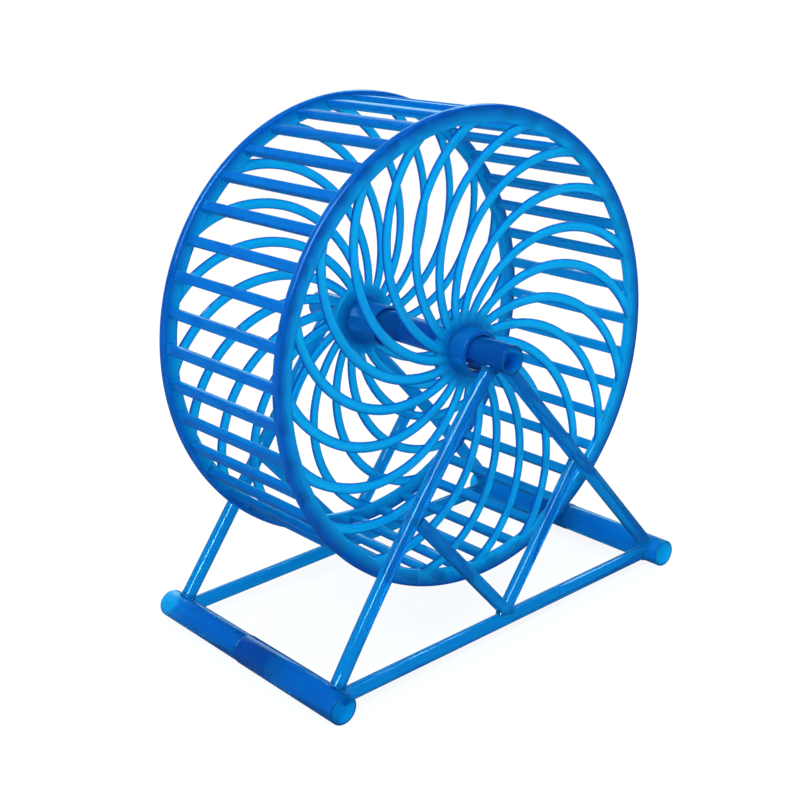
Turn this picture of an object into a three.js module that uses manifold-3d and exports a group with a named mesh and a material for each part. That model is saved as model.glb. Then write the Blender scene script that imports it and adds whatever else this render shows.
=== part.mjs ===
// Hamster wheel: a spoked drum that turns on a hollow axle between two A-frames.
// Millimetres, +Z up. The axle lies along Y, the front is at -Y, the floor is at Z = 0,
// and the origin is on the floor under the middle of the stand.
import * as THREE from 'three';
import { mergeVertices } from 'three/addons/utils/BufferGeometryUtils.js';
import Module from 'manifold-3d';

const wasm = await Module();
wasm.setup();

// Drum: two rims joined by rungs, as long as the legs leave room for
const wheelRadius = 55;
const drumClearance = 4.6;
const rimWidth = 2.0;
const rimThickness = 4.0;
const rimRounding = 0.6;
const wheelShift = 0.9;

// Rungs: flat bars moulded on one rim, each with a peg in the other
const rungCount = 40;
const rungWidth = 2.4;
const rungThickness = 1.8;
const rungRounding = 0.5;
const rungTurn = 3.84;
const pegRadius = 0.6;
const pegLength = 1.2;
const pegClearance = 0.2;

// Spokes: round arcs from the hub flange to the rim. The circle that an arc is part of passes
// close by the axle and would reach out past the rim. The spokes lie on a shallow cone, so
// that the hub is set in from the rim.
const spokeCount = 20;
const spokeWidth = 2.4;
const spokeFlat = 1.6;
const spokeDepth = 1.2;
const spokeRecess = 0.1;
const spokeDish = 3.2;
const spokeAxlePass = 0.95;
const spokeRimPass = 3.85;
const frontSpokeTurn = 4.23;
const rearSpokeTurn = 6.32;

// Hub: a flange that holds the spokes and a bush that runs on the axle
const flangeRadius = 8.8;
const flangeThickness = 1.9;
const hubWall = 0.5;
const bossShoulder = 0.6;
const bossLength = 4.3;
const sleeveLength = 8.8;

// Axle: two open tubes that meet in the middle. The wheel hangs from them.
const axleRadius = 3.4;
const axleWall = 0.6;
const axleOverhang = 5;
const wheelHang = 0.7;
const runningGap = 0.3;

// Stand: two A-frames that plug together at the foot tubes
const axleHeight = 68.7;
const frameSpacing = 60;
const footSpacing = 104;
const footRadius = 3.55;
const footWall = 0.6;
const footOverhang = 4.6;
const footStep = 0.15;
const seamOffset = 2;
const footSpigotLength = 12;
const rodRadius = 1.74;
const legBow = 1.5;
const strutRadius = 1.6;
const strutTop = 33.6;
const strutFoot = 2.3;
const fitGap = 0.3;
const cutOverrun = 1;

// How finely round forms are cut into facets
const rimSides = 64;
const flangeSides = 40;
const tubeSides = 24;
const rodSides = 12;
const pegSides = 6;
const bowSteps = 8;
const spokeSteps = 8;

const framePlane = frameSpacing / 2;
const halfDrum = framePlane - rodRadius - drumClearance - wheelShift;
const rimInnerFace = halfDrum - rimWidth;
const rungRadius = wheelRadius - rimThickness / 2;
const flangeFace = halfDrum - spokeDish;
const spokeArcRadius = (wheelRadius + spokeRimPass + spokeAxlePass) / 2;
const spokeArcOffset = spokeArcRadius - spokeAxlePass;
const hubBore = axleRadius + wheelHang + runningGap;
const sleeveRadius = hubBore + hubWall;
const bossRadius = sleeveRadius + bossShoulder;
const flangeBore = sleeveRadius + fitGap;
const footPlace = footSpacing / 2;
const facetShare = Math.cos(Math.PI / tubeSides);
const footHeight = footRadius * facetShare;
const legRise = axleHeight - footHeight;

const wheelBlue = new THREE.MeshStandardMaterial({ color: 0x0f8cdc, roughness: 0.3, metalness: 0 });
const standBlue = new THREE.MeshStandardMaterial({ color: 0x0f70cd, roughness: 0.25, metalness: 0 });

// A closed geometry as a solid that can be joined and cut
function solidOf(geometry) {
  const bare = geometry.clone();
  bare.deleteAttribute('normal');
  bare.deleteAttribute('uv');
  const merged = mergeVertices(bare, 1e-5);
  return new wasm.Manifold(new wasm.Mesh({
    numProp: 3,
    vertProperties: new Float32Array(merged.attributes.position.array),
    triVerts: new Uint32Array(merged.index.array),
  }));
}

// The vertices and faces of a joined or cut solid
function geometryOf(solid) {
  const { vertProperties, triVerts } = solid.getMesh();
  const geometry = new THREE.BufferGeometry();
  geometry.setAttribute('position', new THREE.BufferAttribute(vertProperties, 3));
  geometry.setIndex(new THREE.BufferAttribute(triVerts, 1));
  geometry.computeVertexNormals();
  return geometry;
}

function named(name, geometry, material) {
  const mesh = new THREE.Mesh(geometry, material);
  mesh.name = name;
  return mesh;
}

// A closed outline of [radius, place along the axle], turned about the axle.
// The half step puts a flat facet, and not an edge, at the bottom.
function revolved(outline, sides) {
  const closed = [...outline, outline[0]].map(([radius, along]) => new THREE.Vector2(radius, along));
  return new THREE.LatheGeometry(closed, sides, Math.PI / sides);
}

// A rectangle with softened corners, in the order that faces outwards when it is turned
function softRectangle(left, right, low, high, rounding) {
  return [
    [left + rounding, low], [right - rounding, low],
    [right, low + rounding], [right, high - rounding],
    [right - rounding, high], [left + rounding, high],
    [left, high - rounding], [left, low + rounding],
  ];
}

function shapeOf(outline) {
  return new THREE.Shape(outline.map(([x, y]) => new THREE.Vector2(x, y)));
}

// A round section with a flat side down
function roundShape(radius, sides) {
  const corners = Array.from({ length: sides }, (_, i) => ((i + 0.5) / sides) * 2 * Math.PI);
  return shapeOf(corners.map((angle) => [radius * Math.cos(angle), radius * Math.sin(angle)]));
}

function rod(path, radius, steps) {
  return new THREE.ExtrudeGeometry(roundShape(radius, rodSides), { steps, extrudePath: path });
}

// A plain round bar or a cutter along the axle, from one place to another
function barAlongAxle(radius, from, to, x, z, sides) {
  const bar = new THREE.CylinderGeometry(radius, radius, to - from, sides);
  return bar.translate(x, (from + to) / 2, z);
}

// One spoke's centre line: an arc that nearly passes through the axle and runs out into the rim
class SpokeLine extends THREE.Curve {
  constructor() {
    super();
    this.rootAngle = this.angleAt((flangeBore + flangeRadius) / 2);
    this.rimAngle = this.angleAt(rungRadius);
  }

  angleAt(radius) {
    const cosine = (radius ** 2 - spokeArcOffset ** 2 - spokeArcRadius ** 2)
      / (2 * spokeArcOffset * spokeArcRadius);
    return Math.acos(cosine);
  }

  getPoint(t, target = new THREE.Vector3()) {
    const along = THREE.MathUtils.lerp(this.rootAngle, this.rimAngle, t);
    const x = spokeArcOffset + spokeArcRadius * Math.cos(along);
    const z = spokeArcRadius * Math.sin(along);
    const setIn = (spokeDish * (rungRadius - Math.hypot(x, z))) / (rungRadius - flangeRadius);
    return target.set(x, spokeRecess + spokeDepth / 2 + setIn - halfDrum, z);
  }
}

// A spoke's section: its sides slope out from the two flat faces to the parting line at half depth
function spokeSection() {
  const depth = spokeDepth / 2;
  const flat = spokeFlat / 2;
  const width = spokeWidth / 2;
  return shapeOf([[-depth, -flat], [0, -width], [depth, -flat], [depth, flat], [0, width], [-depth, flat]]);
}

// One side of the drum in one piece: rim, curved spokes and hub flange.
// Its rim is bored for the pegs of the rungs that are moulded on the other side.
function sideDisc(spokeTurn, pegTurn) {
  const inner = wheelRadius - rimThickness;
  const rim = softRectangle(inner, wheelRadius, -halfDrum, -rimInnerFace, rimRounding);
  const flange = [
    [flangeBore, -flangeFace], [flangeRadius, -flangeFace],
    [flangeRadius, -flangeFace + flangeThickness], [flangeBore, -flangeFace + flangeThickness],
  ];
  let disc = solidOf(revolved(rim, rimSides)).add(solidOf(revolved(flange, flangeSides)));

  const path = new SpokeLine();
  const spoke = new THREE.ExtrudeGeometry(spokeSection(), { steps: spokeSteps, extrudePath: path });
  for (let i = 0; i < spokeCount; i += 1) {
    const turn = THREE.MathUtils.degToRad(spokeTurn + (360 * i) / spokeCount);
    disc = disc.add(solidOf(spoke.clone().rotateY(-turn)));
  }

  const pegCount = rungCount / 2;
  const holeRadius = pegRadius + pegClearance;
  const holeEnd = -rimInnerFace - pegLength - pegClearance;
  const holeMouth = -rimInnerFace + cutOverrun;
  for (let i = 0; i < pegCount; i += 1) {
    const hole = barAlongAxle(holeRadius, holeEnd, holeMouth, rungRadius, 0, pegSides);
    hole.rotateY(-THREE.MathUtils.degToRad(pegTurn + (360 * i) / pegCount));
    disc = disc.subtract(solidOf(hole));
  }
  return geometryOf(disc);
}

// The bush through the flange. Its boss seats on the flange's outer face,
// and on the rear half a sleeve goes on towards the middle of the drum.
function hubBush(inboardLength) {
  const outerEnd = -flangeFace - bossLength;
  const innerEnd = -flangeFace + flangeThickness + inboardLength;
  const outline = [
    [hubBore, outerEnd], [bossRadius, outerEnd],
    [bossRadius, -flangeFace], [sleeveRadius, -flangeFace],
    [sleeveRadius, innerEnd], [hubBore, innerEnd],
  ];
  return revolved(outline, tubeSides);
}

// One rung of the front half: it butts on the front rim and its peg enters the rear rim
function rungBar() {
  const halfThick = rungThickness / 2;
  const halfWide = rungWidth / 2;
  const section = softRectangle(-halfThick, halfThick, -halfWide, halfWide, rungRounding);
  const bar = new THREE.ExtrudeGeometry(shapeOf(section), { depth: 2 * rimInnerFace, bevelEnabled: false });
  bar.rotateX(-Math.PI / 2).translate(rungRadius, -rimInnerFace, 0);
  const pegRoot = rimInnerFace - rungThickness;
  const peg = barAlongAxle(pegRadius, pegRoot, rimInnerFace + pegLength, rungRadius, 0, pegSides);
  return geometryOf(solidOf(bar).add(solidOf(peg)));
}

// The socket half of a foot tube: open at both ends, the spigot enters at its inner end
function socketTube(radius, wall, from, to) {
  return revolved([[radius - wall, from], [radius, from], [radius, to], [radius - wall, to]], tubeSides);
}

// The plug half of a foot tube: the same open tube, stepped down to a spigot that enters the socket
function plugTube(radius, wall, from, to, spigotRadius, spigotLength) {
  const outline = [
    [radius - wall, from], [radius, from], [radius, to], [spigotRadius, to],
    [spigotRadius, to + spigotLength], [spigotRadius - wall, to + spigotLength],
    [spigotRadius - wall, to], [radius - wall, to - wall],
  ];
  return revolved(outline, tubeSides);
}

// A solid less everything that it has to stay clear of
function trimmed(geometry, cutters) {
  const cut = cutters.reduce((solid, cutter) => solid.subtract(solidOf(cutter)), solidOf(geometry));
  return geometryOf(cut);
}

// The pieces of one A-frame, in the place of the front one. Both frames are the same moulding.
// side is -1 for the leg, strut and foot on the socket side and +1 for those on the plug side.
function footEnd(side, gap) {
  const radius = (side < 0 ? footRadius : footRadius - footStep) + gap;
  const reach = framePlane + footOverhang;
  return barAlongAxle(radius, -reach, reach, side * footPlace, footHeight, tubeSides);
}

function legPath(side) {
  const foot = new THREE.Vector3(side * footPlace, -framePlane, footHeight);
  const top = new THREE.Vector3(0, -framePlane, axleHeight);
  const bow = side < 0 ? legBow : 0;
  const outward = new THREE.Vector3(side * legRise, 0, footPlace).setLength(2 * bow);
  const middle = foot.clone().add(top).divideScalar(2).add(outward);
  return new THREE.QuadraticBezierCurve3(foot, middle, top);
}

function railPath() {
  const left = new THREE.Vector3(-footPlace, -framePlane, footHeight);
  const right = new THREE.Vector3(footPlace, -framePlane, footHeight);
  return new THREE.LineCurve3(left, right);
}

function leg(side) {
  const axle = barAlongAxle(axleRadius + fitGap, -2 * framePlane, framePlane, 0, axleHeight, tubeSides);
  const rail = rod(railPath(), rodRadius + fitGap, 1);
  const steps = side < 0 ? bowSteps : 1;
  return trimmed(rod(legPath(side), rodRadius, steps), [axle, footEnd(side, fitGap), rail]);
}

function rail() {
  return trimmed(rod(railPath(), rodRadius, 1), [footEnd(-1, fitGap), footEnd(1, fitGap)]);
}

// A strut of the V brace, from the middle of the rail up to its leg.
// The two struts meet face to face on the middle plane of the frame.
function strut(side) {
  const foot = new THREE.Vector3(0, -framePlane, footHeight + strutFoot);
  const legX = side * footPlace * (1 - strutTop / legRise);
  const top = new THREE.Vector3(legX, -framePlane, footHeight + strutTop);
  const past = foot.clone().sub(top).setLength(rodRadius + strutRadius);
  const path = new THREE.LineCurve3(foot.clone().add(past), top);
  const otherHalf = new THREE.BoxGeometry(footSpacing, frameSpacing, 2 * axleHeight);
  otherHalf.translate(-side * footPlace, -framePlane, 0);
  const rail = rod(railPath(), rodRadius + fitGap, 1);
  const legWithGap = rod(legPath(side), rodRadius + fitGap, bowSteps);
  const belowRail = new THREE.BoxGeometry(footSpacing, frameSpacing, axleHeight);
  belowRail.translate(0, -framePlane, footHeight - axleHeight / 2);
  return trimmed(rod(path, strutRadius, 1), [otherHalf, rail, belowRail, legWithGap]);
}

function axleTube() {
  return socketTube(axleRadius, axleWall, -framePlane - axleOverhang, 0);
}

function socketFoot() {
  return socketTube(footRadius, footWall, -framePlane - footOverhang, seamOffset);
}

function plugFoot() {
  const spigotRadius = footRadius - footWall - fitGap;
  const mouth = -framePlane - footOverhang;
  return plugTube(footRadius - footStep, footWall, mouth, -seamOffset, spigotRadius, footSpigotLength);
}

// One half of the stand. The socket side is left on the front half and right on the rear half.
function standHalf(half, socketSide, plugSide) {
  const group = new THREE.Group();
  const axle = named(`${half}_axle_tube`, axleTube(), standBlue);
  axle.position.set(0, 0, axleHeight);
  const socket = named(`${half}_${socketSide}_foot_socket`, socketFoot(), standBlue);
  socket.position.set(-footPlace, 0, footHeight);
  const plug = named(`${half}_${plugSide}_foot_plug`, plugFoot(), standBlue);
  plug.position.set(footPlace, 0, footHeight);
  group.add(
    axle,
    socket,
    plug,
    named(`${half}_${socketSide}_leg`, leg(-1), standBlue),
    named(`${half}_${plugSide}_leg`, leg(1), standBlue),
    named(`${half}_rail`, rail(), standBlue),
    named(`${half}_${socketSide}_strut`, strut(-1), standBlue),
    named(`${half}_${plugSide}_strut`, strut(1), standBlue),
  );
  return group;
}

// One half of the drum without its rungs
function wheelHalf(half, spokeTurn, pegTurn, inboardLength) {
  const group = new THREE.Group();
  group.add(
    named(`${half}_side_disc`, sideDisc(spokeTurn, pegTurn), wheelBlue),
    named(`${half}_hub_bush`, hubBush(inboardLength), wheelBlue),
  );
  return group;
}

// The whole wheel. Odd rungs are moulded on the front half and even ones on the rear half.
function wheel() {
  const group = new THREE.Group();
  const rungPitch = 360 / rungCount;
  const front = wheelHalf('front', frontSpokeTurn, rungTurn + rungPitch, 0);
  const rear = wheelHalf('rear', rearSpokeTurn, 180 - rungTurn, sleeveLength);
  rear.rotation.z = Math.PI;
  group.add(front, rear);

  const frontRung = rungBar();
  const rearRung = rungBar().rotateX(Math.PI);
  for (let i = 0; i < rungCount; i += 1) {
    const number = String(i + 1).padStart(2, '0');
    const rung = named(`rung_${number}`, i % 2 === 0 ? frontRung : rearRung, wheelBlue);
    rung.rotation.y = -THREE.MathUtils.degToRad(rungTurn + rungPitch * i);
    group.add(rung);
  }
  group.position.set(0, -wheelShift, axleHeight - wheelHang);
  return group;
}

const hamsterWheel = new THREE.Group();
const rearStand = standHalf('rear', 'right', 'left');
rearStand.rotation.z = Math.PI;
hamsterWheel.add(standHalf('front', 'left', 'right'), rearStand, wheel());

export default hamsterWheel;
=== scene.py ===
# A hamster wheel of blue see-through plastic, as it stands on the bench: two wheel halves pushed
# together by their pegs, hung on the axle tubes of two A-frames that plug together at the feet.
# Sizes are written in millimetres and each finished skin is brought to metres once.
import math

import bmesh
import bpy
from mathutils import Matrix, Vector


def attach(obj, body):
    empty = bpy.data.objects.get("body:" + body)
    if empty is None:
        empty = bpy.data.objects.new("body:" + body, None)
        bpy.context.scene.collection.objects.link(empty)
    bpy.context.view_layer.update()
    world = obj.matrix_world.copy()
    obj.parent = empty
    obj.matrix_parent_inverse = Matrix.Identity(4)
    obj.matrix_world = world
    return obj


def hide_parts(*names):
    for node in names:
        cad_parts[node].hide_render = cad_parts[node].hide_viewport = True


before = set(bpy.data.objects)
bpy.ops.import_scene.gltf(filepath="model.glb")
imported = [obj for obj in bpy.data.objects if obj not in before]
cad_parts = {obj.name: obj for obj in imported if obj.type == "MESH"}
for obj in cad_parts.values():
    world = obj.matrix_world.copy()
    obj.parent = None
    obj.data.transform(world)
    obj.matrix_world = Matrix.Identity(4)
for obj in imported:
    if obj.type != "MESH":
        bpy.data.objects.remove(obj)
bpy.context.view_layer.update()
scene = bpy.context.scene

# Front wheel half. One injection moulding of clear polystyrene with blue dye: a rim, twenty spokes
# that curl from the hub out to the rim, a hub flange with a short boss, and twenty of the rungs.
MM = 0.001
WHEEL_MIDDLE = Vector((0.0, -0.9, 68.0))
RIM_OUTSIDE, RIM_INSIDE = 54.93, 51.0
RIM_FACE, RIM_BACK = -22.76, -20.76
RIM_SIDES, RIM_ROUNDING, RIM_CUTS = 180, 0.6, 4
EDGE_CUTS = 3
SAME_PLACE, SAME_RADIUS, WELD = 1e-3, 1e-2, 1e-5


def is_round_edge(edge):
    """Whether an edge runs round the axle and not along it or away from it."""
    a, b = (vert.co for vert in edge.verts)
    outwards = abs(math.hypot(a.x, a.z) - math.hypot(b.x, b.z))
    return abs(a.y - b.y) < SAME_PLACE and outwards < SAME_RADIUS


def ease_edges(bm, chosen, rounding, cuts):
    """Rounds the chosen edges a little, as the mould's corners are."""
    bmesh.ops.bevel(
        bm, geom=[edge for edge in bm.edges if chosen(edge)], offset=rounding, offset_type="OFFSET",
        segments=cuts, profile=0.5, affect="EDGES", material=-1,
    )


def turned(outline, sides, rounding=0.0, cuts=EDGE_CUTS):
    """A closed outline of (radius, place along the axle), spun round the axle, its edges eased."""
    bm = bmesh.new()
    corners = [bm.verts.new((radius, along, 0.0)) for radius, along in outline]
    border = [bm.edges.new(pair) for pair in zip(corners, corners[1:] + corners[:1])]
    bmesh.ops.spin(
        bm, geom=corners + border, cent=(0, 0, 0), axis=(0, 1, 0), dvec=(0, 0, 0),
        angle=2 * math.pi, steps=sides, use_merge=True, use_duplicate=False,
    )
    bmesh.ops.remove_doubles(bm, verts=bm.verts, dist=WELD)
    if rounding:
        ease_edges(bm, is_round_edge, rounding, cuts)
    bmesh.ops.recalc_face_normals(bm, faces=bm.faces)
    return bm


def bar(radius, start, end, sides, rounding=0.0):
    """A solid round bar along the axle, its ends eased."""
    bm = bmesh.new()
    bmesh.ops.create_cone(
        bm, cap_ends=True, segments=sides, radius1=radius, radius2=radius, depth=end - start,
    )
    lay_down = Matrix.Rotation(math.radians(90), 3, "X")
    bmesh.ops.rotate(bm, cent=(0, 0, 0), matrix=lay_down, verts=bm.verts)
    bmesh.ops.translate(bm, vec=(0, (start + end) / 2, 0), verts=bm.verts)
    if rounding:
        ease_edges(bm, is_round_edge, rounding, EDGE_CUTS)
    bmesh.ops.recalc_face_normals(bm, faces=bm.faces)
    return bm


def member(bm, places=(Matrix.Identity(4),)):
    """One or more copies of a shape, each where it belongs in the moulding."""
    mesh = bpy.data.meshes.new("member")
    bm.to_mesh(mesh)
    bm.free()
    copies = []
    for place in places:
        copy = bpy.data.objects.new("member", mesh)
        copy.matrix_world = place
        copies.append(copy)
    return copies


def joined(operation, base, others):
    """The base with the other members melted into it or bored out of it, as one closed skin."""
    tray = bpy.data.collections.new("tray")
    scene.collection.children.link(tray)
    for other in others:
        tray.objects.link(other)
    scene.collection.objects.link(base)
    step = base.modifiers.new("step", "BOOLEAN")
    step.operation, step.solver = operation, "MANIFOLD"
    step.operand_type, step.collection = "COLLECTION", tray
    graph = bpy.context.evaluated_depsgraph_get()
    mesh = bpy.data.meshes.new_from_object(base.evaluated_get(graph))
    mesh.transform(base.matrix_world)
    for spent in [base, *others]:
        bpy.data.objects.remove(spent)
    bpy.data.collections.remove(tray)
    return bpy.data.objects.new("member", mesh)


SHARP_EDGE = math.radians(32)


def moulding(name, members, bores, place, plastic):
    """The finished moulding: its members in one skin, bored, put in place and brought to metres."""
    skin = joined("UNION", members[0], members[1:])
    skin = joined("DIFFERENCE", skin, bores)
    skin.name = skin.data.name = name
    skin.data.transform(Matrix.Scale(MM, 4) @ place)
    skin.data.shade_smooth()
    skin.data.set_sharp_from_angle(angle=SHARP_EDGE)
    skin.data.materials.clear()
    skin.data.materials.append(plastic)
    scene.collection.objects.link(skin)
    return skin


def turn(degrees):
    """A turn about the axle, counted from the right hand side upwards as seen from the front."""
    return Matrix.Rotation(-math.radians(degrees), 4, "Y")


def rim():
    outline = [
        (RIM_INSIDE, RIM_FACE), (RIM_OUTSIDE, RIM_FACE), (RIM_OUTSIDE, RIM_BACK), (RIM_INSIDE, RIM_BACK),
    ]
    return member(turned(outline, RIM_SIDES, RIM_ROUNDING, RIM_CUTS))


FLANGE, FLANGE_THICKNESS, HUB_DISH = 8.8, 1.9, 3.2
FLANGE_FACE = RIM_FACE + HUB_DISH
FLANGE_BACK = FLANGE_FACE + FLANGE_THICKNESS
SPOKES, FRONT_SPOKE, REAR_SPOKE = 20, 4.23, 6.32
SPOKE_WIDTH, SPOKE_DEPTH = 2.4, 1.2
SPOKE_SIDES, SPOKE_STEPS = 14, 44
SPOKE_CURL, SPOKE_CENTRE = 29.9, 28.95
SPOKE_ROOT, SPOKE_END = 6.3, 52.6
SPOKE_FLARE, SPOKE_FLARE_START = 0.35, 47.0
SPOKE_RECESS, SPOKE_RIDGE = 0.1, 0.42
# How narrow the painted shade on the spokes' sides is: dark outlines along their edges.
PAINTED_OUTLINE_NARROWNESS = 6


def curl_angle(radius):
    """How far round its curl a spoke is when it is this far from the axle."""
    reach = radius**2 - SPOKE_CENTRE**2 - SPOKE_CURL**2
    return math.acos(reach / (2 * SPOKE_CENTRE * SPOKE_CURL))


def spoke():
    """An oval bar swept round its curl, flared at the rim and leaning in towards the dished hub. Its
    sides are marked for painted shade: dark outlines along its edges, where refraction darkens a spoke."""
    bm = bmesh.new()
    bmesh.ops.create_circle(bm, cap_ends=True, radius=1.0, segments=SPOKE_SIDES)
    # The side layer carries painted shade: near one at the spoke's edges, nought on its faces.
    side = bm.verts.layers.float.new("side")
    for vert in bm.verts:
        vert[side] = vert.co.x**PAINTED_OUTLINE_NARROWNESS
    bmesh.ops.scale(bm, vec=(SPOKE_WIDTH / 2, SPOKE_DEPTH / 2, 1), verts=bm.verts)
    bmesh.ops.translate(bm, vec=(SPOKE_CURL, 0, 0), verts=bm.verts)
    start, stop = curl_angle(SPOKE_END), curl_angle(SPOKE_ROOT)
    bmesh.ops.transform(bm, matrix=turn(math.degrees(start)), verts=bm.verts)
    bmesh.ops.spin(
        bm, geom=bm.verts[:] + bm.edges[:] + bm.faces[:], cent=(0, 0, 0), axis=(0, 1, 0), dvec=(0, 0, 0),
        angle=start - stop, steps=SPOKE_STEPS, use_merge=False, use_duplicate=False,
    )
    lean = (FLANGE_FACE - RIM_FACE - SPOKE_RIDGE) / (SPOKE_END - FLANGE)
    for vert in bm.verts:
        off_curl = math.hypot(vert.co.x, vert.co.z)
        off_axle = math.hypot(vert.co.x + SPOKE_CENTRE, vert.co.z)
        into_flare = max(0.0, (off_axle - SPOKE_FLARE_START) / (SPOKE_END - SPOKE_FLARE_START))
        spread = 1 + SPOKE_FLARE * into_flare**2
        widened = (SPOKE_CURL + (off_curl - SPOKE_CURL) * spread) / off_curl
        vert.co.x, vert.co.z = vert.co.x * widened, vert.co.z * widened
        vert.co.y += lean * (SPOKE_END - off_axle)
    bmesh.ops.recalc_face_normals(bm, faces=bm.faces)
    middle = RIM_FACE + SPOKE_RECESS + SPOKE_DEPTH / 2
    bmesh.ops.translate(bm, vec=(SPOKE_CENTRE, middle, 0), verts=bm.verts)
    return bm


def spokes(first_turn):
    return member(spoke(), [turn(first_turn + 360 * i / SPOKES) for i in range(SPOKES)])


BOSS, BOSS_LENGTH = 5.5, 4.3
BOSS_FACE = FLANGE_FACE - BOSS_LENGTH
SLEEVE, HUB_BORE, HUB_CORE = 4.9, 4.4, 1.0
HUB_SIDES, HUB_ROUNDING = 96, 0.3
BORE_REACH = 40.0


def hub(sleeve_end):
    """Flange and boss, and on the rear half the sleeve that reaches into the drum. Bored later."""
    outline = [
        (HUB_CORE, BOSS_FACE), (BOSS, BOSS_FACE), (BOSS, FLANGE_FACE),
        (FLANGE, FLANGE_FACE), (FLANGE, FLANGE_BACK),
    ]
    if sleeve_end > FLANGE_BACK:
        outline += [(SLEEVE, FLANGE_BACK), (SLEEVE, sleeve_end)]
    outline += [(HUB_CORE, sleeve_end)]
    return member(turned(outline, HUB_SIDES, HUB_ROUNDING))


def hub_bore():
    return member(bar(HUB_BORE, -BORE_REACH, BORE_REACH, HUB_SIDES))


RUNGS, FIRST_RUNG, RUNG_RADIUS = 40, 3.84, 53.0
RUNG_WIDTH, RUNG_THICKNESS = 2.4, 1.8
RUNG_ROUNDING, RUNG_CUTS = 0.45, 4
RUNG_SUNK, RUNG_SHORT = 0.7, 0.04
RUNG_FLARES = ((0.3, 1.16), (0.7, 1.06), (1.4, 1.03))


def is_long_edge(edge):
    a, b = (vert.co for vert in edge.verts)
    return abs(a.y - b.y) > SAME_PLACE


def rungs(first_turn):
    """Every second rung, its root flared and sunk in the rim, its far end stopping at the other rim."""
    root, end = RIM_BACK - RUNG_SUNK, -RIM_BACK - RUNG_SHORT
    bm = bmesh.new()
    bmesh.ops.create_cube(bm, size=1.0)
    bmesh.ops.scale(bm, vec=(RUNG_THICKNESS, end - root, RUNG_WIDTH), verts=bm.verts)
    bmesh.ops.translate(bm, vec=(0, (end + root) / 2, 0), verts=bm.verts)
    ease_edges(bm, is_long_edge, RUNG_ROUNDING, RUNG_CUTS)
    for off_rim, flare in RUNG_FLARES:
        ring = RIM_BACK + off_rim
        bmesh.ops.bisect_plane(
            bm, geom=bm.verts[:] + bm.edges[:] + bm.faces[:], plane_co=(0, ring, 0), plane_no=(0, 1, 0),
        )
        nearer = [vert for vert in bm.verts if vert.co.y < ring - SAME_PLACE]
        bmesh.ops.scale(bm, vec=(flare, 1, flare), verts=nearer)
    bmesh.ops.translate(bm, vec=(RUNG_RADIUS, 0, 0), verts=bm.verts)
    bmesh.ops.recalc_face_normals(bm, faces=bm.faces)
    return member(bm, [turn(first_turn + 360 * i / RUNGS) for i in range(0, RUNGS, 2)])


class Socket:
    """An output of one of a material's nodes. Arithmetic on it adds Math nodes."""

    def __init__(self, material, output=None):
        self.material, self.output = material, output

    def node(self, kind, settings, values, output=0):
        """A node of any kind: its settings first, then the values or links of its sockets."""
        made = self.material.node_tree.nodes.new(kind)
        for name, setting in settings.items():
            setattr(made, name, setting)
        for name, value in values.items():
            if isinstance(value, Socket):
                self.material.node_tree.links.new(value.output, made.inputs[name])
            else:
                made.inputs[name].default_value = value
        return Socket(self.material, made.outputs[output] if made.outputs else None)

    def __add__(self, other):
        return self.node("ShaderNodeMath", {"operation": "ADD"}, {0: self, 1: other})

    def __mul__(self, other):
        return self.node("ShaderNodeMath", {"operation": "MULTIPLY"}, {0: self, 1: other})

    def __sub__(self, other):
        return self.node("ShaderNodeMath", {"operation": "SUBTRACT"}, {0: self, 1: other})

    def __rsub__(self, other):
        return self.node("ShaderNodeMath", {"operation": "SUBTRACT"}, {0: other, 1: self})

    __radd__ = __add__
    __rmul__ = __mul__


def fading(value, start, stop, before, after):
    """Goes from one number to another while the value goes from start to stop."""
    return value.node("ShaderNodeMapRange", {}, {
        "Value": value, "From Min": start, "From Max": stop, "To Min": before, "To Max": after,
    }, "Result")


def from_middle(place, middle):
    """How far a place is from a middle line along the axle's direction, in metres."""
    off = place.node("ShaderNodeVectorMath", {"operation": "SUBTRACT"}, {0: place, 1: middle}, "Vector")
    flat = off.node("ShaderNodeVectorMath", {"operation": "MULTIPLY"}, {0: off, 1: (1, 0, 1)}, "Vector")
    return flat.node("ShaderNodeVectorMath", {"operation": "LENGTH"}, {0: flat}, "Value")


AZURE, NAVY = (0.004, 0.54, 0.94, 1.0), (0.003, 0.145, 0.54, 1.0)
DYE, DYE_DENSITY = (0.02, 0.70, 0.88, 1.0), 400.0
CLOUD_REACH = (0.0002, 0.0005, 0.001)
GLOSS, HAZED_GLOSS = 0.03, 0.05
FLOW_MARKS, HAZE_PATCHES, FLOW_HEIGHT = 260.0, 90.0, 0.00005
# Painted shade: how much darker the spokes' sides are painted, as dark outlines.
PAINTED_OUTLINE_SHADE = 1.3


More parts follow.
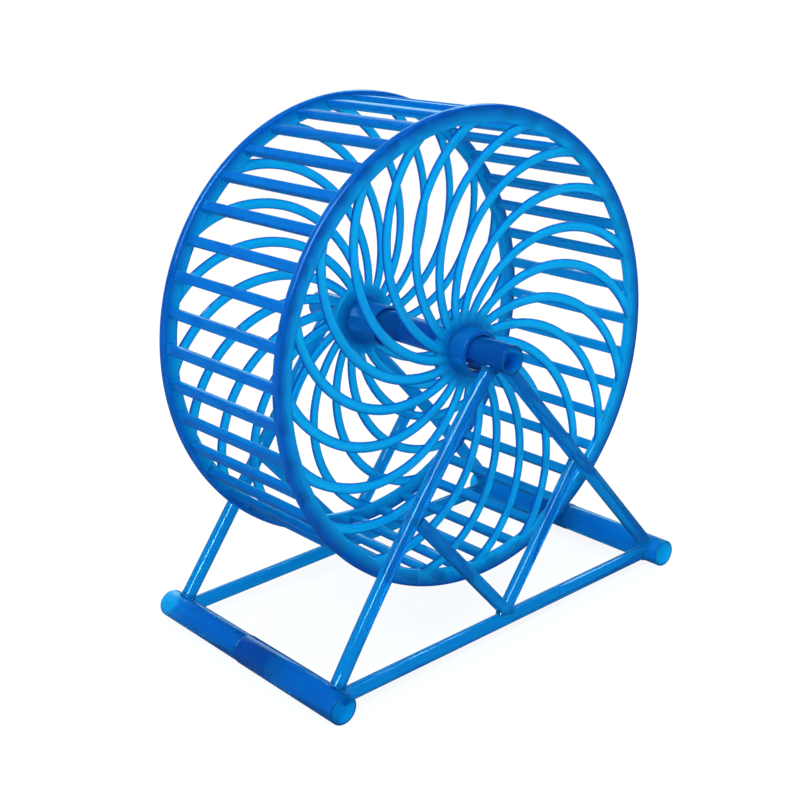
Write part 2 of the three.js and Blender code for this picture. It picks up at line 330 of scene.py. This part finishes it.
def clear_blue(name, shade, clearness):
    """Dyed see-through plastic, a little cloudy. Its shade is nought for azure and one for navy."""
    material = bpy.data.materials.new(name)
    material.use_nodes = True
    material.node_tree.nodes.clear()
    plastic = Socket(material)
    place = plastic.node("ShaderNodeTexCoord", {}, {}, "Object")
    # The side mark is painted shade: dark outlines along the spokes' edges.
    side = plastic.node("ShaderNodeAttribute", {"attribute_name": "side"}, {}, "Fac")
    flow = plastic.node(
        "ShaderNodeTexNoise", {}, {"Vector": place, "Scale": FLOW_MARKS, "Detail": 3.0}, "Fac")
    haze = plastic.node(
        "ShaderNodeTexNoise", {}, {"Vector": place, "Scale": HAZE_PATCHES, "Detail": 2.0}, "Fac")
    dents = plastic.node(
        "ShaderNodeBump", {}, {"Strength": 0.2, "Distance": FLOW_HEIGHT, "Height": flow}, "Normal")
    colour = plastic.node(
        "ShaderNodeMix", {"data_type": "RGBA"},
        {0: shade(place) + PAINTED_OUTLINE_SHADE * side, 6: AZURE, 7: NAVY}, 2)
    surface = plastic.node("ShaderNodeBsdfPrincipled", {}, {
        "Base Color": colour,
        "Roughness": GLOSS + HAZED_GLOSS * haze,
        "IOR": 1.49,
        "Specular IOR Level": 0.45,
        "Transmission Weight": clearness,
        "Subsurface Weight": 1.0,
        "Subsurface Radius": CLOUD_REACH,
        "Subsurface Scale": 1.0,
        "Normal": dents,
    }, "BSDF")
    dye = plastic.node("ShaderNodeVolumeAbsorption", {}, {"Color": DYE, "Density": DYE_DENSITY}, "Volume")
    plastic.node("ShaderNodeOutputMaterial", {}, {"Surface": surface, "Volume": dye})
    return material


HUB_NAVY_END, HUB_AZURE_START = 5.6, 9.3
RIM_AZURE_END, RIM_NAVY_START = 50.8, 54.2
HUB_SHADE, SPOKE_SHADE = 1.1, 0.2
INNER_SHADE, RIM_SHADE = -0.2, 0.8
WHEEL_CLEARNESS = 0.54


def wheel_shade(place):
    """The plastic is deepest at the hub, then at the rungs and rims, and thinnest at the spokes."""
    reach = from_middle(place, WHEEL_MIDDLE * MM)
    hub_part = fading(reach, HUB_NAVY_END * MM, HUB_AZURE_START * MM, HUB_SHADE, SPOKE_SHADE)
    rim_part = fading(reach, RIM_AZURE_END * MM, RIM_NAVY_START * MM, INNER_SHADE, RIM_SHADE)
    return hub_part + rim_part


wheel_plastic = clear_blue("wheel_plastic", wheel_shade, WHEEL_CLEARNESS)
front_wheel = moulding(
    "front_wheel_half",
    rim() + spokes(FRONT_SPOKE) + hub(FLANGE_BACK) + rungs(FIRST_RUNG),
    hub_bore(),
    Matrix.Translation(WHEEL_MIDDLE),
    wheel_plastic,
)
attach(front_wheel, "wheel")
front_rungs = [f"rung_{number:02d}" for number in range(1, RUNGS, 2)]
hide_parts("front_side_disc", "front_hub_bush", *front_rungs)

# Rear wheel half. The same kind of moulding turned to face the other way, with the rungs between
# those of the front half, and a long hub sleeve that reaches towards the middle of the drum.
SLEEVE_LENGTH = 8.8
HALF_TURN = Matrix.Rotation(math.pi, 4, "Z")
rear_wheel = moulding(
    "rear_wheel_half",
    rim() + spokes(REAR_SPOKE) + hub(FLANGE_BACK + SLEEVE_LENGTH) + rungs(180 - FIRST_RUNG - 360 / RUNGS),
    hub_bore(),
    Matrix.Translation(WHEEL_MIDDLE) @ HALF_TURN,
    wheel_plastic,
)
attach(rear_wheel, "wheel")
rear_rungs = [f"rung_{number:02d}" for number in range(2, RUNGS + 1, 2)]
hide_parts("rear_side_disc", "rear_hub_bush", *rear_rungs)

# Front stand half. One moulding of the same plastic: an axle tube, a leg down to each foot, a rail
# between the feet, a V brace, a foot tube with a wide socket and one that steps down to a plug.
AXLE_HEIGHT, FOOT_HEIGHT = 68.7, 3.52
FRAME, FOOT = -30.0, 52.0
AXLE, AXLE_BORE, AXLE_MOUTH = 3.4, 2.8, -35.0
SOCKET, SOCKET_BORE, FOOT_MOUTH = 3.52, 2.95, -34.6
PLUG, PLUG_BORE = 3.38, 2.8
SPIGOT, SPIGOT_BORE, SPIGOT_LENGTH = 2.65, 2.05, 12.0
SEAM, HAIRLINE = 2.0, 0.03
SPIGOT_ROOT, PLUG_WEB, BORE_OVERRUN = 1.0, 1.2, 5.0
TUBE_SIDES, AXLE_ROUNDING, FOOT_ROUNDING = 64, 0.2, 0.25
ROD, STRUT, ROD_SIDES = 1.74, 1.6, 32
STRUT_TOP, STRUT_FOOT, STRUT_SUNK = 33.6, 2.3, 1.8
LEG_BOW, BOW_STEPS = 1.5, 24


def between(start, end):
    """The place that lays a shape's own Y axis from one point to another."""
    line = Vector(end) - Vector(start)
    return Matrix.Translation(start) @ line.to_track_quat("Y", "Z").to_matrix().to_4x4()


def rod(radius, start, end):
    length = (end - start).length
    return member(bar(radius, 0, length, ROD_SIDES), [between(start, end)])


def bowed_rod(radius, start, end, bow, outward):
    """A rod bent a little outwards, as the soft leg came out of the mould."""
    length = (end - start).length
    bend = (length**2 / 4 + bow**2) / (2 * bow)
    centre = (start + end) / 2 - outward * (bend - bow)
    sweep = 2 * math.asin(length / 2 / bend)
    axis = (start - centre).cross(end - centre).normalized()
    onto_start = between(start, start + axis.cross(start - centre))
    bm = bmesh.new()
    bmesh.ops.create_circle(bm, cap_ends=True, radius=radius, segments=ROD_SIDES)
    bmesh.ops.transform(bm, matrix=onto_start @ Matrix.Rotation(math.radians(90), 4, "X"), verts=bm.verts)
    bmesh.ops.spin(
        bm, geom=bm.verts[:] + bm.edges[:] + bm.faces[:], cent=centre, axis=axis, dvec=(0, 0, 0),
        angle=sweep, steps=BOW_STEPS, use_merge=False, use_duplicate=False,
    )
    bmesh.ops.recalc_face_normals(bm, faces=bm.faces)
    return member(bm)


FILLET, FILLET_SUNK, FILLET_LENGTH = 0.5, 0.12, 1.0
FILLET_SHARES = ((1.0, 0.0), (0.55, 0.35), (0.2, 1.0))
FILLET_TOP_SHARE = 2.2


def collar(radius, start, end):
    """The small fillet where a rod grows out of a tube."""
    top = FILLET * FILLET_TOP_SHARE
    outline = [(0.0, 0.0)]
    outline += [(radius + FILLET * out, FILLET * up) for out, up in FILLET_SHARES]
    outline += [(radius - HAIRLINE, top), (0.0, top)]
    return member(turned(outline, ROD_SIDES), [between(start, end)])


def tube(radius, x, z, start, end, rounding=0.0):
    """A round bar along the axle's direction at a place across the stand. It is bored later, or bores."""
    return member(bar(radius, start, end, TUBE_SIDES, rounding), [Matrix.Translation((x, 0, z))])


def stand_half():
    """The members of one stand half, and the bores that are taken out of them."""
    left, right = Vector((-FOOT, FRAME, FOOT_HEIGHT)), Vector((FOOT, FRAME, FOOT_HEIGHT))
    top = Vector((0, FRAME, AXLE_HEIGHT))
    up_left, up_right = (top - left).normalized(), (top - right).normalized()
    across = Vector((1, 0, 0))
    outward = Vector((FOOT_HEIGHT - AXLE_HEIGHT, 0, FOOT)).normalized()
    legs = bowed_rod(ROD, left, top, LEG_BOW, outward) + rod(ROD, right, top)
    rail = rod(ROD, left, right)
    brace, fillets = [], []
    for side in (-1, 1):
        foot = Vector((0, FRAME, FOOT_HEIGHT + STRUT_FOOT))
        up_the_leg = STRUT_TOP / (AXLE_HEIGHT - FOOT_HEIGHT)
        head = Vector((side * FOOT * (1 - up_the_leg), FRAME, FOOT_HEIGHT + STRUT_TOP))
        brace += rod(STRUT, foot - (head - foot).normalized() * STRUT_SUNK, head)
    for start, direction, wall in (
        (left, up_left, SOCKET), (right, up_right, PLUG), (left, across, SOCKET), (right, -across, PLUG),
        (top, -up_left, AXLE), (top, -up_right, AXLE),
    ):
        sunk, clear = start + direction * (wall - FILLET_SUNK), start + direction * (wall + FILLET_LENGTH)
        fillets += collar(ROD, sunk, clear)
    tubes = (
        tube(AXLE, 0, AXLE_HEIGHT, AXLE_MOUTH, -HAIRLINE, AXLE_ROUNDING)
        + tube(SOCKET, -FOOT, FOOT_HEIGHT, FOOT_MOUTH, SEAM, FOOT_ROUNDING)
        + tube(PLUG, FOOT, FOOT_HEIGHT, FOOT_MOUTH, -SEAM - HAIRLINE, FOOT_ROUNDING)
        + tube(SPIGOT, FOOT, FOOT_HEIGHT, -SEAM - SPIGOT_ROOT, -SEAM + SPIGOT_LENGTH, FOOT_ROUNDING)
    )
    bores = (
        tube(AXLE_BORE, 0, AXLE_HEIGHT, -BORE_REACH, BORE_OVERRUN)
        + tube(SOCKET_BORE, -FOOT, FOOT_HEIGHT, -BORE_REACH, BORE_OVERRUN)
        + tube(PLUG_BORE, FOOT, FOOT_HEIGHT, -BORE_REACH, -SEAM - PLUG_WEB)
        + tube(SPIGOT_BORE, FOOT, FOOT_HEIGHT, -SEAM - 2 * SPIGOT_ROOT, BORE_REACH / 2)
    )
    return tubes + legs + rail + brace + fillets, bores


# Painted light: how much paler the bores of the tubes are painted.
ROD_SHADE, FOOT_SHADE, AXLE_SHADE, BORE_PAINTED_LIGHT = 0.56, 0.25, 0.4, -0.6
# Painted light: how much paler the right-hand foot tube and the tubes' open rear ends are painted.
RIGHT_FOOT_PAINTED_LIGHT, OPEN_END_PAINTED_LIGHT, OPEN_END_START = 0.9, -0.4, 22.0
FOOT_SKIN_EDGE, FOOT_BORE_EDGE = (0.04, 0.28), (0.01, 0.35)
AXLE_SKIN_EDGE, AXLE_BORE_EDGE = (0.1, 0.8), (0.0, 0.4)
STAND_CLEARNESS = 0.75


def wall_shade(distance, radius, edge, shade):
    """A shade up to a wall's radius, fading to nought between the two ends of its edge; on the bores it is
    painted light.
    """
    start, stop = edge
    return fading(distance, (radius + start) * MM, (radius + stop) * MM, shade, 0.0)


def stand_shade(place):
    """The axle and the foot tubes show two walls and look deeper than the rods, and deepest where a plug
    sits in its socket. Their bores and open rear ends are painted pale and the right-hand foot tube paler,
    as painted light."""
    across = place.node("ShaderNodeSeparateXYZ", {}, {"Vector": place}, "X")
    along = place.node("ShaderNodeSeparateXYZ", {}, {"Vector": place}, "Y")
    side = across.node("ShaderNodeMath", {"operation": "SIGN"}, {0: across})
    flip = side.node("ShaderNodeCombineXYZ", {}, {"X": side, "Y": side, "Z": 1.0})
    folded = flip.node("ShaderNodeVectorMath", {"operation": "MULTIPLY"}, {0: place, 1: flip}, "Vector")
    off_foot = from_middle(folded, (FOOT * MM, 0, FOOT_HEIGHT * MM))
    foot_skin = wall_shade(off_foot, SOCKET, FOOT_SKIN_EDGE, FOOT_SHADE)
    # Painted light: the bores are painted pale, for the light that shines inside the tubes.
    foot_bore = wall_shade(off_foot, SOCKET_BORE, FOOT_BORE_EDGE, BORE_PAINTED_LIGHT)
    off_axle = from_middle(place, (0, 0, AXLE_HEIGHT * MM))
    axle_skin = wall_shade(off_axle, AXLE, AXLE_SKIN_EDGE, AXLE_SHADE)
    axle_bore = wall_shade(off_axle, AXLE_BORE, AXLE_BORE_EDGE, BORE_PAINTED_LIGHT)
    plugged = along.node("ShaderNodeMath", {"operation": "COMPARE"}, {
        0: along * side, 1: (SPIGOT_LENGTH / 2 - SEAM) * MM, 2: SPIGOT_LENGTH / 2 * MM})
    # Painted light: the right-hand foot tube is painted paler, to lift it out of the wheel's shadow.
    right_half = side.node("ShaderNodeMath", {"operation": "MAXIMUM"}, {0: side, 1: 0.0})
    # Painted light: the open rear ends are painted pale, for the light that comes in there.
    open_end = fading(along, OPEN_END_START * MM, -FOOT_MOUTH * MM, 1.0, OPEN_END_PAINTED_LIGHT)
    foot_wall = foot_skin * (open_end + plugged - RIGHT_FOOT_PAINTED_LIGHT * right_half)
    return ROD_SHADE + foot_wall + foot_bore + axle_skin + axle_bore


stand_plastic = clear_blue("stand_plastic", stand_shade, STAND_CLEARNESS)
members, bores = stand_half()
front_stand = moulding("front_stand_half", members, bores, Matrix.Identity(4), stand_plastic)
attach(front_stand, "stand")
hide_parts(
    "front_axle_tube", "front_left_foot_socket", "front_right_foot_plug", "front_left_leg",
    "front_right_leg", "front_rail", "front_left_strut", "front_right_strut",
)

# Rear stand half. The same moulding in the same plastic, turned round to face the other way. Its plug
# is pushed into the front half's socket, and its socket takes the front half's plug.
members, bores = stand_half()
rear_stand = moulding("rear_stand_half", members, bores, HALF_TURN, stand_plastic)
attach(rear_stand, "stand")
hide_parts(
    "rear_axle_tube", "rear_right_foot_socket", "rear_left_foot_plug", "rear_right_leg",
    "rear_left_leg", "rear_rail", "rear_right_strut", "rear_left_strut",
)

# The bench and the light. White paper on a table that fades into a white backdrop, under a long softbox
# and two narrow strip lights. In the plastic's gloss the room is dim, with one bright far wall.
PAPER_SIZE, PAPER_FADE, PAPER_GLOW = 12.0, (0.22, 0.5), 0.88
PAPER_WHITE, PAPER_MIRRORED = (0.95, 0.95, 0.95, 1.0), (0.05, 0.05, 0.05, 1.0)
WHITE, WALL_TINT, LAMP_TINT = (1, 1, 1, 1), (0.5, 0.85, 1, 1), (0.4, 0.86, 1.0)
BEHIND = Vector((0.63, 0.776, 0.0))
BACKDROP_EDGE, FRONT_LIGHT, BACKDROP_LIGHT = (-0.2, 0.3), 0.4, 1.1
CEILING_EDGE, CEILING_LIGHT = (0.4, 0.9), 1.4
FAR_WALL_EDGE, FAR_WALL_TOP = (0.5, 0.8), (0.3, 0.5)
FAR_WALL_LIGHT, DIM_LIGHT = 1.5, 0.06


def mirrored_only(surroundings):
    """One for a ray that a glossy surface throws back, nought for one that also went through plastic."""
    glossy = surroundings.node("ShaderNodeLightPath", {}, {}, "Is Glossy Ray")
    through = surroundings.node("ShaderNodeLightPath", {}, {}, "Is Transmission Ray")
    return glossy * (1 - through)


paper_sheet = bmesh.new()
bmesh.ops.create_grid(paper_sheet, x_segments=4, y_segments=4, size=PAPER_SIZE / 2)
paper_mesh = bpy.data.meshes.new("paper")
paper_sheet.to_mesh(paper_mesh)
paper_sheet.free()
paper = bpy.data.objects.new("paper", paper_mesh)
scene.collection.objects.link(paper)
white = bpy.data.materials.new("white_paper")
white.use_nodes = True
white.node_tree.nodes.clear()
sheet = Socket(white)
spot = sheet.node("ShaderNodeTexCoord", {}, {}, "Object")
away = spot.node("ShaderNodeVectorMath", {"operation": "LENGTH"}, {0: spot}, "Value")
fade = fading(away, *PAPER_FADE, PAPER_GLOW, 1.0)
lit = sheet.node("ShaderNodeBsdfDiffuse", {}, {"Color": PAPER_WHITE}, "BSDF")
glow = sheet.node("ShaderNodeEmission", {}, {"Color": WHITE, "Strength": 1.0}, "Emission")
dark = sheet.node("ShaderNodeBsdfDiffuse", {}, {"Color": PAPER_MIRRORED}, "BSDF")
faded = sheet.node("ShaderNodeMixShader", {}, {0: fade, 1: lit, 2: glow}, "Shader")
finish = sheet.node("ShaderNodeMixShader", {}, {0: mirrored_only(sheet), 1: faded, 2: dark}, "Shader")
sheet.node("ShaderNodeOutputMaterial", {}, {"Surface": finish})
paper_mesh.materials.append(white)

world = bpy.data.worlds.new("room")
world.use_nodes = True
world.node_tree.nodes.clear()
room = Socket(world)
heading = room.node("ShaderNodeTexCoord", {}, {}, "Generated")
height = heading.node("ShaderNodeSeparateXYZ", {}, {"Vector": heading}, "Z")
depth = heading.node(
    "ShaderNodeVectorMath", {"operation": "DOT_PRODUCT"}, {0: heading, 1: BEHIND}, "Value")
backdrop = fading(depth, *BACKDROP_EDGE, FRONT_LIGHT, BACKDROP_LIGHT)
ceiling = fading(height, *CEILING_EDGE, 0.0, CEILING_LIGHT)
light = room.node("ShaderNodeMath", {"operation": "MAXIMUM"}, {0: backdrop, 1: ceiling})
far_wall = fading(depth, *FAR_WALL_EDGE, 0.0, FAR_WALL_LIGHT)
low = fading(height, *FAR_WALL_TOP, 1.0, 0.0)
room_light = room.node("ShaderNodeBackground", {}, {"Color": WHITE, "Strength": light}, "Background")
mirrored_room = room.node(
    "ShaderNodeBackground", {}, {"Color": WALL_TINT, "Strength": DIM_LIGHT + far_wall * low}, "Background")
white_wall = room.node("ShaderNodeBackground", {}, {"Color": WHITE, "Strength": 1.0}, "Background")
surroundings = room.node(
    "ShaderNodeMixShader", {}, {0: mirrored_only(room), 1: room_light, 2: mirrored_room}, "Shader")
seen = room.node("ShaderNodeLightPath", {}, {}, "Is Camera Ray")
picture = room.node("ShaderNodeMixShader", {}, {0: seen, 1: surroundings, 2: white_wall}, "Shader")
room.node("ShaderNodeOutputWorld", {}, {"Surface": picture})
scene.world = world

LAMP_AIM = Vector((0, 0, 0.05))


def softbox(name, place, width, height, power):
    """An evenly lit rectangle that faces the wheel and isn't seen itself."""
    lamp = bpy.data.lights.new(name, "AREA")
    lamp.shape, lamp.size, lamp.size_y, lamp.energy = "RECTANGLE", width, height, power
    lamp.color = LAMP_TINT
    holder = bpy.data.objects.new(name, lamp)
    back = Vector(place) - LAMP_AIM
    holder.matrix_world = Matrix.Translation(place) @ back.to_track_quat("Z", "Y").to_matrix().to_4x4()
    holder.visible_camera = False
    scene.collection.objects.link(holder)


softbox("overhead_softbox", place=(-0.4, -0.25, 0.78), width=0.8, height=0.2, power=5.0)
softbox("left_strip", place=(-0.665, -0.33, 0.64), width=0.17, height=0.44, power=5.0)
softbox("right_strip", place=(0.5, 0.12, 0.6), width=0.4, height=0.12, power=1.4)

CAMERA_PLACE = (-0.2056, -0.2484, 0.1673)
CAMERA_AZIMUTH, CAMERA_ELEVATION, CAMERA_ROLL = -39.09, 19.79, -3.20
camera = bpy.data.cameras.new("camera")
camera.lens, camera.sensor_width, camera.clip_start = 64.15, 36.0, 0.01
eye = bpy.data.objects.new("camera", camera)
azimuth, elevation, roll = map(math.radians, (CAMERA_AZIMUTH, CAMERA_ELEVATION, CAMERA_ROLL))
right = Vector((math.cos(azimuth), math.sin(azimuth), 0))
level = math.cos(elevation)
back = Vector((math.sin(azimuth) * level, -math.cos(azimuth) * level, math.sin(elevation)))
up = back.cross(right)
rolled_right = math.cos(roll) * right + math.sin(roll) * up
rolled_up = math.cos(roll) * up - math.sin(roll) * right
facing = Matrix((rolled_right, rolled_up, back)).transposed().to_4x4()
eye.matrix_world = Matrix.Translation(CAMERA_PLACE) @ facing
scene.collection.objects.link(eye)
scene.camera = eye
scene.view_settings.view_transform = "Standard"
